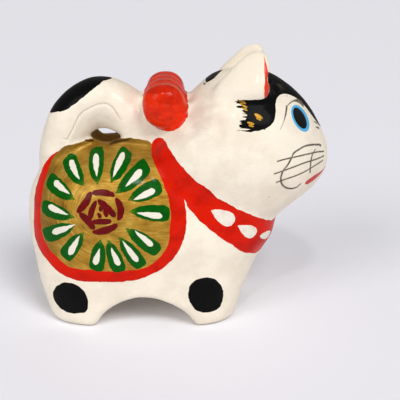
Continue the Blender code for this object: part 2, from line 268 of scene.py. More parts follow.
# Heights on the bow where its pleats take a painted highlight
BOW_HIGHLIGHT_HEIGHTS = (-2.0, 4.0)
CROWN_MIDDLE_HEIGHT = 76.5
CROWN_HALF_WIDTH = 34.5
CROWN_HALF_HEIGHT = ((9.0, 27.6), (16.0, 31.6), (23.0, 34.0), (31.0, 35.0), (40.0, 33.6), (47.0, 30.2))
CROWN_POWER = 2.1
EAR_STAND_OFF = 0.055
EAR_REAR = 13.0
EAR_FOOT = 98.0
EAR_FRONT_AT_FOOT = 39.2
EAR_FRONT_LEAN = 0.13
EAR_INNER_SIDE = 8.8
EAR_OUTER_SIDE = 29.0
# The red of the ear: the hollow's middle, which leans inwards, its room and its ends, and the front edge
EAR_MIDDLE = 18.0
EAR_MIDDLE_HEIGHT = 111.0
EAR_MIDDLE_LEAN = 0.225
EAR_ROOM = 5.6
EAR_ROOM_HEIGHT = 106.0
EAR_ROOM_NARROWING = 0.46
EAR_ROOM_MOST = 5.2
EAR_HOLLOW_REAR = 33.0
EAR_HOLLOW_FOOT = 103.5
EAR_EDGE_PLACE = 38.1
EAR_EDGE_INSET = 1.0
EAR_EDGE_TOP = 117.5
EAR_EDGE_TIP = 38.3
EAR_EDGE_TAPER = 0.25
EAR_RED_FOOT = 98.5
EAR_RED_TOP = 117.0
EAR_RED_SLOPE = 0.6
SOLE_LINE_HEIGHT = 0.9
SOLE_LINE_HALF_WIDTH = 0.16

# Profiles: the half width along a brush stroke, as shares of the widest, from its first end to its last
PETAL_PROFILE = (
    (0.0, 0.0), (0.03, 0.2), (0.15, 0.42), (0.35, 0.78), (0.6, 0.98), (0.8, 1.0), (0.94, 0.84),
    (0.99, 0.55), (1.0, 0.0),
)
CORE_PROFILE = (
    (0.0, 0.0), (0.06, 0.24), (0.3, 0.62), (0.6, 0.96), (0.8, 1.0), (0.93, 0.72), (1.0, 0.0),
)
STROKE_PROFILE = (
    (0.0, 0.0), (0.03, 0.42), (0.2, 0.86), (0.5, 1.0), (0.8, 0.88), (0.96, 0.5), (1.0, 0.0),
)
BROW_PROFILE = ((0.0, 0.0), (0.04, 0.4), (0.4, 0.55), (0.8, 0.95), (0.96, 0.9), (1.0, 0.0))
MOUTH_PROFILE = (
    (0.0, 0.0), (0.03, 0.6), (0.14, 0.95), (0.3, 1.0), (0.6, 0.66), (0.8, 0.42), (0.97, 0.36), (1.0, 0.0),
)
DROP_PROFILE = ((0.0, 0.0), (0.1, 0.3), (0.45, 0.86), (0.7, 1.0), (0.9, 0.75), (1.0, 0.0))
PROFILE_MARGIN_MM = 0.2
EDGE_SOFTNESS_MM = 0.14
SOFT_EDGE_MM = 0.4
INK_SOFTNESS_MM = 0.3
SOLE_SOFTNESS_MM = 0.2

# The shell: vertices nearer than this are one, and weights under the least are left out
WELD_DISTANCE = 0.00001
LEAST_WEIGHT = 0.01
# Where its relief fades in and out, in millimetres
EAR_DRAW_LENGTH = ((27.0, 37.0), (40.0, 43.0))
EAR_DRAW_WIDTH = ((9.0, 12.0), (25.0, 28.0))
EAR_DRAW_HEIGHT = (103.0, 108.0)
LAYER_EDGE_RISE = (-0.3, 0.8)
LAYER_FADE_DOWN = (3.0, 15.0)
LAYER_REAR_RISE = (-5.0, 1.0)
LAYER_FRONT_FALL = (-5.0, 2.0)
LAYER_SIDE_RISE = (6.0, 10.0)
LAYER_FOOT_RISE = (70.0, 74.0)
LIP_HALF_WIDTH = 0.9
LIP_SIDE_RISE = (7.0, 11.0)
RIM_FALL = (1.0, 3.5)
RIM_SIDE_RISE = (3.0, 8.0)

# Soft noise in the paint: its waves a millimetre along x, y and z
CLOUDS = (0.09, 0.09, 0.09)
STAIN_CLOUDS = (0.12, 0.12, 0.12)
GRAIN = (1.4, 1.4, 1.4)
SPECK_CLOUDS = (0.35, 0.35, 0.35)
BRUSH_MARKS = (0.5, 0.9, 1.8)
RED_POOLS = (0.11, 0.11, 0.15)
GOLD_SWEEPS = (0.16, 1.0, 2.2)
GOLD_BANDS = (0.14, 1.0, 0.2)
GOLD_BREAKS = (0.5, 1.0, 2.4)
PETAL_BRISTLES = (1.9, 1.9, 1.9)
PETAL_SHADES = (0.6, 0.6, 0.6)
COLLAR_TINTS = (0.5, 0.5, 0.5)
STRIP_WAVES = (0.4, 0.8, 0.4)
CHEEK_BRISTLES = (0.14, 1.0, 1.1)
WEAR_AND_SHEEN_CLOUDS = (0.2, 0.2, 0.2)
FAINT_INK = (0.7, 0.7, 0.7)
BOW_WAVES = (0.3, 0.3, 0.3)
BOW_CREASES = (0.28, 0.28, 0.28)
WANDER_SCALE = 0.4
WANDER_MM = 0.7
SPECK_SCALE = 0.16
BOW_FACET_SCALE = 0.11

# Relief in the paint, in millimetres
LAYER_RELIEF = 0.55
BRUSH_RELIEF = 0.16
GRAIN_RELIEF = 0.035
SPECK_RELIEF = 0.05
STREAK_RELIEF = 0.08
CREASE_RELIEF = 1.5
FACET_RELIEF = 2.0

# The finish of each paint. A thickness is in millimetres.
GESSO_ROUGHNESS = 0.52
RED_FINISH = {"roughness": 0.3, "coat": 0.07, "thickness": 0.07}
GOLD_FINISH = {"roughness": 0.38, "metallic": 0.4, "coat": 0.1, "thickness": 0.03}
HOLE_SHADOW_FINISH = {"roughness": 0.5}
HOLE_FLOOR_FINISH = {"roughness": 0.6}
PETAL_FINISH = {"roughness": 0.3, "coat": 0.1, "thickness": 0.08}
CORE_FINISH = {"roughness": 0.5, "thickness": 0.1}
ROSE_FINISH = {"roughness": 0.3, "coat": 0.1, "thickness": 0.06}
COLLAR_PETAL_FINISH = {"roughness": 0.45, "coat": 0.1, "thickness": 0.08}
CROWN_FINISH = {"roughness": 0.6, "coat": 0.03, "thickness": 0.05}
PATCH_FINISH = {"roughness": 0.5, "coat": 0.06, "thickness": 0.06}
TOUCH_FINISH = {"roughness": 0.4, "metallic": 0.4, "thickness": 0.03}
INK_FINISH = {"roughness": 0.5}
EYE_FINISH = {"roughness": 0.35, "coat": 0.3, "thickness": 0.05}
PUPIL_FINISH = {"roughness": 0.25, "coat": 0.5, "thickness": 0.04}
MOUTH_FINISH = {"roughness": 0.32, "coat": 0.4, "thickness": 0.04}
EAR_FINISH = {"roughness": 0.52, "coat": 0.15}
EAR_RED_FINISH = {"roughness": 0.35, "coat": 0.2}
BOW_FINISH = {"roughness": 0.22, "coat": 0.2, "thickness": 0.05}
SOLE_FINISH = {"roughness": 0.6}
COAT_ROUGHNESS = 0.12
SPECULAR_LEVEL = 0.06

# The studio: where each light comes from and its spread in degrees
KEY_LIGHT = ((0.42, -0.62, 0.75), 24.0)
FILL_LIGHT = ((-0.65, -0.75, 0.6), 30.0)
GLINT_LIGHT = ((-0.05, -0.64, 0.77), 5.0)
ROOM_COLOUR = (1.0, 0.98, 0.97, 1.0)
FLOOR_SIZE = 16.0
FLOOR_ROUGHNESS = 0.7


def paint(red, green, blue):
    """A paint colour from its display values of 0 to 255, as Blender's linear values."""
    linear = []
    for value in (red, green, blue):
        share = value / 255.0
        linear.append(share / 12.92 if share <= 0.04045 else ((share + 0.055) / 1.055) ** 2.4)
    return tuple(linear)


def colour_property(name, description, default):
    return FloatVectorProperty(
        name=name, description=description, subtype="COLOR", size=3, min=0.0, max=1.0, default=default)


def length_property(name, description, default):
    return FloatProperty(
        name=name, description=description, subtype="DISTANCE", unit="LENGTH", min=0.0, default=default)


class PaperDogShell(bpy.types.PropertyGroup):
    """Sizes of the gessoed shell."""

    fineness: length_property("Fineness", "Size of the shell's faces", 0.00082)
    smoothing: IntProperty(
        name="Smoothing", description="Passes that even out the shell", min=0, max=50, default=9)
    dent_size: length_property("Dent size", "Spread of the shallow dents in the paper", 0.014)
    dent_depth: length_property("Dent depth", "Height from the dents' floors to their tops", 0.0005)
    ripple_size: length_property("Ripple size", "Spread of the fine ripples of the gesso", 0.0045)
    ripple_depth: length_property("Ripple depth", "Height of the ripples of the gesso", 0.00012)
    tail_layer: length_property("Tail layer", "Thickness of the layer pasted round the tail", 0.0011)
    lip: length_property("Tail lip", "Height of the lip where the tail's paste meets the back", 0.0005)
    ear_reach: length_property("Ear reach", "How far the ears' front edges are drawn forward", 0.0018)
    rim: length_property("Hole rim", "How far the paste closes in round the hole", 0.0007)


class PaperDogPaint(bpy.types.PropertyGroup):
    """Colours of the paint."""

    gesso: colour_property("Gesso", "White of the shell", paint(245, 235, 216))
    # Greyer white: random patches of the gesso, and also painted shade just above the layer round the tail
    greyer_gesso_and_shade: colour_property("Gesso shade", "Greyer white in its patches", paint(226, 213, 193))
    stain: colour_property("Stain", "Rubbed-off red on the white", paint(214, 186, 172))
    vermilion: colour_property("Vermilion", "Collar and cloth border", paint(212, 24, 0))
    bow_red: colour_property("Bow red", "Thinner vermilion of the bow", paint(232, 44, 0))
    # Painted highlight along the bow's pleats
    bow_highlight: colour_property("Bow ridge", "Paler folds of the bow", paint(240, 122, 84))
    # Deep red is also painted as shade towards the foot of the border
    deep_red: colour_property("Deep red", "Thicker vermilion", paint(160, 12, 0))
    gold: colour_property("Gold", "Saddle cloth", paint(178, 134, 44))
    gold_light: colour_property("Light gold", "Brush streaks on the cloth", paint(222, 188, 92))
    # Dark gold is also painted as shade towards the cloth's top and rear
    gold_dark: colour_property("Dark gold", "Thin gold on the cloth", paint(118, 84, 26))
    # Painted shadow in the corners beside the hole
    hole_shadow: colour_property("Crevice", "Dark corners beside the hole", paint(74, 50, 18))
    green: colour_property("Green", "Petals of the flower", paint(0, 90, 4))
    green_shade: colour_property("Green shade", "Thick green", (0.0, 0.04, 0.004))
    green_light: colour_property("Light green", "Dry ends of the petals", paint(96, 132, 18))
    core: colour_property("Petal white", "Cores of the petals", paint(234, 228, 212))
    petal_tint: colour_property("Petal tint", "Red that shows through the white", paint(226, 196, 196))
    rose: colour_property("Rose", "Strokes of the rose", paint(112, 4, 6))
    rose_shade: colour_property("Rose shade", "Thick rose", (0.09, 0.004, 0.005))
    black: colour_property("Black", "Patches and spots", paint(4, 4, 4))
    # Painted sheen and wear: paler grey-brown on the top of the black cap
    worn_black_and_sheen: colour_property("Worn black", "Rubbed black on the head", paint(78, 70, 62))
    # The line colour is also painted as a thin shadow line along the upper edge of the layer round the
    # tail
    line: colour_property("Line", "Eyebrows, muzzle and whiskers", paint(88, 78, 68))
    eye: colour_property("Eye", "Ring of the eye", paint(82, 174, 222))
    crimson: colour_property("Crimson", "Nose and mouth", paint(200, 20, 26))
    ear_red: colour_property("Ear red", "Hollow of the ear", paint(222, 60, 30))


class PaperDogStudio(bpy.types.PropertyGroup):
    """Floor and light."""

    floor: colour_property("Floor", "Pale paper that the dog stands on", paint(248, 248, 255))
    key: FloatProperty(name="Key light", description="Strength from above and the right", default=1.6)
    fill: FloatProperty(name="Fill light", description="Strength from the front left", default=0.85)
    glint: FloatProperty(name="Glint", description="Strength of the small bright light", default=0.3)
    world: FloatProperty(name="Surroundings", description="Strength of the pale room", default=0.29)


class Value:
    """A number in a shader. Python's operators on it add Math nodes."""

    def __init__(self, graph, socket):
        self.graph = graph
        self.socket = socket

    def __add__(self, other):
        return self.graph.math("ADD", self, other)

    def __radd__(self, other):
        return self.graph.math("ADD", other, self)

    def __sub__(self, other):
        return self.graph.math("SUBTRACT", self, other)

    def __rsub__(self, other):
        return self.graph.math("SUBTRACT", other, self)

    def __mul__(self, other):
        return self.graph.math("MULTIPLY", self, other)

    def __rmul__(self, other):
        return self.graph.math("MULTIPLY", other, self)

    def __truediv__(self, other):
        return self.graph.math("DIVIDE", self, other)

    def __pow__(self, other):
        return self.graph.math("POWER", self, other)

    def __abs__(self):
        return self.graph.math("ABSOLUTE", self)


class Graph:
    """The nodes of one material."""

    def __init__(self, material):
        material.use_nodes = True
        self.tree = material.node_tree
        self.tree.nodes.clear()

    def node(self, kind, settings=None, sockets=None, output=0):
        """Adds a node: its settings first, then its sockets' values or links. Gives one output."""
        made = self.tree.nodes.new(kind)
        for name, value in (settings or {}).items():
            if name == "curve":
                self.shape_curve(made, value)
            else:
                setattr(made, name, value)
        for name, value in (sockets or {}).items():
            if isinstance(value, Value):
                self.tree.links.new(value.socket, made.inputs[name])
            else:
                made.inputs[name].default_value = value
        if not made.outputs:
            return None
        return Value(self, made.outputs[output])

    @staticmethod
    def shape_curve(made, points):
        """Gives a Float Curve node its points, from left to right between 0 and 1."""
        curve = made.mapping.curves[0]
        made.mapping.extend = "HORIZONTAL"
        curve.points[0].location = points[0]
        curve.points[-1].location = points[-1]
        for point in points[1:-1]:
            curve.points.new(*point)
        for point in curve.points:
            point.handle_type = "AUTO_CLAMPED"
        made.mapping.update()

    def math(self, operation, first, second=0.0, third=0.0, clamp=False):
        values = {0: first, 1: second, 2: third}
        return self.node("ShaderNodeMath", {"operation": operation, "use_clamp": clamp}, values)

    def vector_math(self, operation, first, second=(0.0, 0.0, 0.0), third=(0.0, 0.0, 0.0)):
        values = {0: first, 1: second, 2: third}
        output = 1 if operation in ("DOT_PRODUCT", "LENGTH") else 0
        return self.node("ShaderNodeVectorMath", {"operation": operation}, values, output)

    def curve(self, value, points):
        return self.node("ShaderNodeFloatCurve", {"curve": points}, {"Value": value})

    def mix(self, share, first, second):
        """A colour between two, for a share of 0 to 1."""
        colours = [value if isinstance(value, Value) else (*value, 1.0) for value in (first, second)]
        sockets = {0: share, 6: colours[0], 7: colours[1]}
        return self.node("ShaderNodeMix", {"data_type": "RGBA"}, sockets, output=2)

    def blend(self, share, first, second):
        """A number between two, for a share of 0 to 1."""
        return self.node("ShaderNodeMix", {"data_type": "FLOAT"}, {0: share, 2: first, 3: second})

    def noise(self, place, stretch, detail=2.0, roughness=0.5):
        """Soft noise of 0 to 1. The stretch gives its waves a millimetre along x, y and z."""
        moved = self.vector_math("MULTIPLY", place, stretch)
        sockets = {"Vector": moved, "Scale": 1.0, "Detail": detail, "Roughness": roughness}
        return self.node("ShaderNodeTexNoise", {}, sockets)

    def step(self, value, low, high):
        """0 before low, 1 past high and a smooth change between them. High may be the smaller one."""
        settings = {"interpolation_type": "SMOOTHSTEP"}
        return self.node("ShaderNodeMapRange", settings, {"Value": value, 1: low, 2: high})


class Flank:
    """Shapes seen from the dog's side. Each is the distance inside its edge, in millimetres."""

    def __init__(self, graph, place):
        self.graph = graph
        self.place = graph.vector_math("MULTIPLY", place, (1.0, 0.0, 1.0))
        self.x = graph.node("ShaderNodeSeparateXYZ", {}, {0: place}, 0)
        self.z = graph.node("ShaderNodeSeparateXYZ", {}, {0: place}, 2)

    def along(self, direction, start):
        """Distance from start along a direction."""
        reach = self.graph.vector_math("DOT_PRODUCT", self.place, (direction[0], 0.0, direction[1]))
        return reach - (direction[0] * start[0] + direction[1] * start[1])

    def above(self, outline):
        """Height above an edge that runs from the tail to the head."""
        points = sorted(outline)
        rear, front = points[0][0], points[-1][0]
        low = min(z for _, z in points)
        high = max(z for _, z in points)
        shares = [((x - rear) / (front - rear), (z - low) / (high - low)) for x, z in points]
        share = self.graph.math("DIVIDE", self.x - rear, front - rear, clamp=True)
        return self.z - (self.graph.curve(share, shares) * (high - low) + low)

    def patch(self, middle, outline):
        """Inside of a rounded outline, given by its distance from the middle at each angle."""
        spokes = []
        for x, z in outline:
            angle = math.atan2(z - middle[1], x - middle[0])
            spokes.append((angle / (2.0 * math.pi) + 0.5, math.hypot(x - middle[0], z - middle[1])))
        spokes.sort()
        first, last = spokes[0], spokes[-1]
        share = (1.0 - last[0]) / (first[0] + 1.0 - last[0])
        seam = last[1] + (first[1] - last[1]) * share
        longest = max(reach for _, reach in spokes)
        points = [(turn, reach / longest) for turn, reach in [(0.0, seam)] + spokes + [(1.0, seam)]]
        across = self.x - middle[0]
        up = self.z - middle[1]
        turn = self.graph.math("ARCTAN2", up, across) / (2.0 * math.pi) + 0.5
        reach = self.graph.math("SQRT", across * across + up * up)
        return self.graph.curve(turn, points) * longest - reach

    def leaf(self, start, end, half_width, profile, bow=0.0):
        """Inside of one brush stroke, and the share of the way along it."""
        graph = self.graph
        length = math.dist(start, end)
        ahead = ((end[0] - start[0]) / length, (end[1] - start[1]) / length)
        offset = graph.vector_math("SUBTRACT", self.place, (start[0], 0.0, start[1]))
        share = graph.vector_math(
            "DOT_PRODUCT", offset, (ahead[0] / length, 0.0, ahead[1] / length))
        across = graph.vector_math("DOT_PRODUCT", offset, (-ahead[1], 0.0, ahead[0]))
        if bow:
            across = graph.math("MULTIPLY_ADD", share * share - share, 4.0 * bow, across)
        widest = half_width + PROFILE_MARGIN_MM
        width = graph.curve(share, profile)
        width = graph.math("MULTIPLY_ADD", width, widest, -PROFILE_MARGIN_MM)
        return width - abs(across), share

    def line(self, points, half_width, upright=False):
        """Inside of a thin line through points, which runs level or upright."""
        along = 1 if upright else 0
        points = sorted(points, key=lambda point: point[along])
        start, end = points[0][along], points[-1][along]
        low = min(point[1 - along] for point in points)
        high = max(point[1 - along] for point in points)
        shares = [((point[along] - start) / (end - start), (point[1 - along] - low) / (high - low))
                  for point in points]
        forward, sideways = (self.z, self.x) if upright else (self.x, self.z)
        share = (forward - start) / (end - start)
        line = self.graph.math("MULTIPLY_ADD", self.graph.curve(share, shares), high - low, low)
        slant = math.cos(math.atan2(high - low, end - start))
        inside = half_width - abs(sideways - line) * slant
        ends = (0.5 - abs(share - 0.5)) * (end - start)
        return self.graph.math("MINIMUM", inside, ends)

    def oval(self, middle, tip, side):
        """Inside of an ellipse through a tip and a side point."""
        a = (tip[0] - middle[0], tip[1] - middle[1])
        b = (side[0] - middle[0], side[1] - middle[1])
        area = a[0] * b[1] - a[1] * b[0]
        first = self.along((b[1] / area, -b[0] / area), middle)
        second = self.along((-a[1] / area, a[0] / area), middle)
        reach = self.graph.math("SQRT", first * first + second * second)
        return (1.0 - reach) * math.hypot(*b)

    def union(self, shapes):
        joined = shapes[0]
        for shape in shapes[1:]:
            joined = self.graph.math("MAXIMUM", joined, shape)
        return joined

    def mask(self, inside, softness=EDGE_SOFTNESS_MM):
        """1 inside an edge and 0 outside it."""
        return self.graph.math("MULTIPLY_ADD", inside, 1.0 / softness, 0.5, clamp=True)


class Finish:
    """The finish of the surface, built up by laying one paint over another."""

    def __init__(self, graph, colour, roughness):
        self.graph = graph
        self.colour = colour
        self.roughness = roughness
        self.metallic = 0.0
        self.coat = 0.0
        self.height = None

    def lay(self, mask, colour, roughness, metallic=0.0, coat=0.0, thickness=0.0):
        """Lays paint where the mask is 1. The thickness is in millimetres."""
        self.colour = self.graph.mix(mask, self.colour, colour)
        self.roughness = self.graph.blend(mask, self.roughness, roughness)
        self.metallic = self.graph.blend(mask, self.metallic, metallic)
        self.coat = self.graph.blend(mask, self.coat, coat)
        if thickness:
            self.raise_by(mask * thickness)

    def raise_by(self, height):
        self.height = height if self.height is None else self.height + height


def deselect_all():
    if bpy.context.mode != "OBJECT":
        bpy.ops.object.mode_set(mode="OBJECT")
    bpy.ops.object.select_all(action="DESELECT")


def make_active(piece):
    deselect_all()
    piece.select_set(True)
    bpy.context.view_layer.objects.active = piece


def apply_modifier(piece, kind, **settings):
    make_active(piece)
    modifier = piece.modifiers.new(kind.title(), kind)
    for name, value in settings.items():
        setattr(modifier, name, value)
    bpy.ops.object.modifier_apply(modifier=modifier.name)


def camera_matrix():
    turn = Matrix.Rotation(CAMERA_TURN, 4, "Z")
    dip = Matrix.Rotation(math.pi / 2.0 - CAMERA_DIP, 4, "X")
    roll = Matrix.Rotation(-CAMERA_ROLL, 4, "Z")
    return Matrix.Translation(CAMERA_PLACE) @ turn @ dip @ roll


class Tracing:
    """Finds the places on the near flank that the photograph's pixels show, in millimetres."""

    def __init__(self, piece):
        graph = bpy.context.evaluated_depsgraph_get()
        self.surface = BVHTree.FromObject(piece, graph)
        self.matrix = camera_matrix()
        self.focal = LENS_MM / SENSOR_MM * PHOTO_SIDE

    def ray(self, pixel):
        right = (pixel[0] - PHOTO_SIDE / 2.0) / self.focal
        down = (pixel[1] - PHOTO_SIDE / 2.0) / self.focal
        return (self.matrix.to_3x3() @ Vector((right, -down, -1.0))).normalized()

    def spot(self, pixel):
        """The spot that a pixel shows. One off the outline steps inwards until it meets the dog."""
        for step in range(INWARD_STEPS):
            share = step / INWARD_STEPS
            inward = [value + (middle - value) * share for value, middle in zip(pixel, MIDDLE)]
            hit = self.surface.ray_cast(CAMERA_PLACE, self.ray(inward))[0]
            if hit is not None:
                return hit * MM
        raise RuntimeError("a traced pixel lies off the dog")

    def place(self, pixel):
        spot = self.spot(pixel)
        return (spot.x, spot.z)

    def front_place(self, pixel):
        """How far a pixel's spot lies from the dog's middle, and its height."""
        spot = self.spot(pixel)
        return (abs(spot.y), spot.z)

    def places(self, pixels):
        return [self.place(pixel) for pixel in pixels]


def smooth_rise(values, low, high):
    """0 below low, 1 above high and a smooth rise between them."""
    share = np.clip((values - low) / (high - low), 0.0, 1.0)
    return share * share * (3.0 - 2.0 * share)


def distance_to_line(x, z, points):
    """Distance from each place to a line through points, seen from the side."""
    nearest = np.full(len(x), 1e9)
    for (x0, z0), (x1, z1) in zip(points, points[1:]):
        run_x, run_z = x1 - x0, z1 - z0
        share = ((x - x0) * run_x + (z - z0) * run_z) / (run_x ** 2 + run_z ** 2)
        share = np.clip(share, 0.0, 1.0)
        nearest = np.minimum(nearest, np.hypot(x - x0 - share * run_x, z - z0 - share * run_z))
    return nearest


def raise_where(piece, name, weights, height, direction="NORMAL"):
    """Moves the surface by a height times each vertex's weight."""
    group = piece.vertex_groups.new(name=name)
    for index in np.nonzero(weights > LEAST_WEIGHT)[0]:
        group.add([int(index)], float(weights[index]), "REPLACE")
    apply_modifier(
        piece, "DISPLACE", strength=height, mid_level=0.0, vertex_group=name, direction=direction)
    piece.vertex_groups.remove(piece.vertex_groups[name])


def ripple(piece, name, size, height):
    """Moves the surface in and out by soft noise."""
    texture = bpy.data.textures.new(name, "CLOUDS")
    texture.noise_scale = size
    texture.noise_depth = 1
    apply_modifier(
        piece, "DISPLACE", texture=texture, strength=height, mid_level=0.5, texture_coords="LOCAL")
    bpy.data.textures.remove(texture)


def vertex_places(piece):
    """Columns x, y and z of the vertices, in millimetres."""
    values = np.zeros(len(piece.data.vertices) * 3)
    piece.data.vertices.foreach_get("co", values)
    return values.reshape(-1, 3).T * MM


class PAPERDOG_OT_shell(bpy.types.Operator):
    """Make the dog's smooth gessoed shell over its solid"""

    bl_idname = "paperdog.shell"
    bl_label = "Gessoed shell"

    def execute(self, context):
        sizes = context.scene.paper_dog_shell
        shell = bpy.data.objects.new("gessoed_shell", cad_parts[NODE].data.copy())
        context.scene.collection.objects.link(shell)
        shell.data.materials.clear()
        make_active(shell)
        bpy.ops.object.mode_set(mode="EDIT")
        bpy.ops.mesh.select_all(action="SELECT")
        bpy.ops.mesh.remove_doubles(threshold=WELD_DISTANCE)
        bpy.ops.object.mode_set(mode="OBJECT")
        apply_modifier(shell, "SUBSURF", levels=1, render_levels=1)
        apply_modifier(shell, "REMESH", mode="VOXEL", voxel_size=sizes.fineness)
        apply_modifier(shell, "SMOOTH", factor=0.5, iterations=sizes.smoothing)
        self.draw_out_ears(shell, sizes)
        self.paste_tail_layer(shell, sizes)
        ripple(shell, "dents", sizes.dent_size, sizes.dent_depth)
        ripple(shell, "ripples", sizes.ripple_size, sizes.ripple_depth)
        make_active(shell)
        bpy.ops.object.shade_smooth()
        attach(shell, "root")
        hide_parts(NODE)
        return {"FINISHED"}

    def draw_out_ears(self, shell, sizes):
        """Draws the front edges of the ears forward, which the smoothing had shortened."""
        x, y, z = vertex_places(shell)
        y = np.abs(y)
        weights = smooth_rise(x, *EAR_DRAW_LENGTH[0]) * (1.0 - smooth_rise(x, *EAR_DRAW_LENGTH[1]))
        weights *= smooth_rise(y, *EAR_DRAW_WIDTH[0]) * (1.0 - smooth_rise(y, *EAR_DRAW_WIDTH[1]))
        weights *= smooth_rise(z, *EAR_DRAW_HEIGHT)
        raise_where(shell, "ear edge", weights, sizes.ear_reach, "X")

    def paste_tail_layer(self, shell, sizes):
        """Raises the layer pasted round the inside of the tail's arch, and its lip on the back."""
        tracing = Tracing(shell)
        layer = sorted(tracing.places(TAIL_LAYER))
        lips = [tracing.places(TAIL_LIP_REAR), tracing.places(TAIL_LIP_FRONT)]
        x, y, z = vertex_places(shell)
        edge = np.interp(x, [place[0] for place in layer], [place[1] for place in layer])
        below = edge - z
        weights = smooth_rise(below, *LAYER_EDGE_RISE) * (1.0 - smooth_rise(below, *LAYER_FADE_DOWN))
        weights *= smooth_rise(x - layer[0][0], *LAYER_REAR_RISE)
        weights *= 1.0 - smooth_rise(x - layer[-1][0], *LAYER_FRONT_FALL)
        weights *= smooth_rise(np.abs(y), *LAYER_SIDE_RISE) * smooth_rise(z, *LAYER_FOOT_RISE)
        raise_where(shell, "tail layer", weights, sizes.tail_layer)
        x, y, z = vertex_places(shell)
        reach = np.minimum(distance_to_line(x, z, lips[0]), distance_to_line(x, z, lips[1]))
        weights = np.exp(-(reach / LIP_HALF_WIDTH) ** 2) * smooth_rise(np.abs(y), *LIP_SIDE_RISE)
        raise_where(shell, "tail lip", weights, sizes.lip)
        x, y, z = vertex_places(shell)
        hole = tracing.places(TAIL_HOLE)
        reach = distance_to_line(x, z, hole + hole[:1])
        weights = (1.0 - smooth_rise(reach, *RIM_FALL)) * smooth_rise(np.abs(y), *RIM_SIDE_RISE)
        raise_where(shell, "hole rim", weights, sizes.rim)


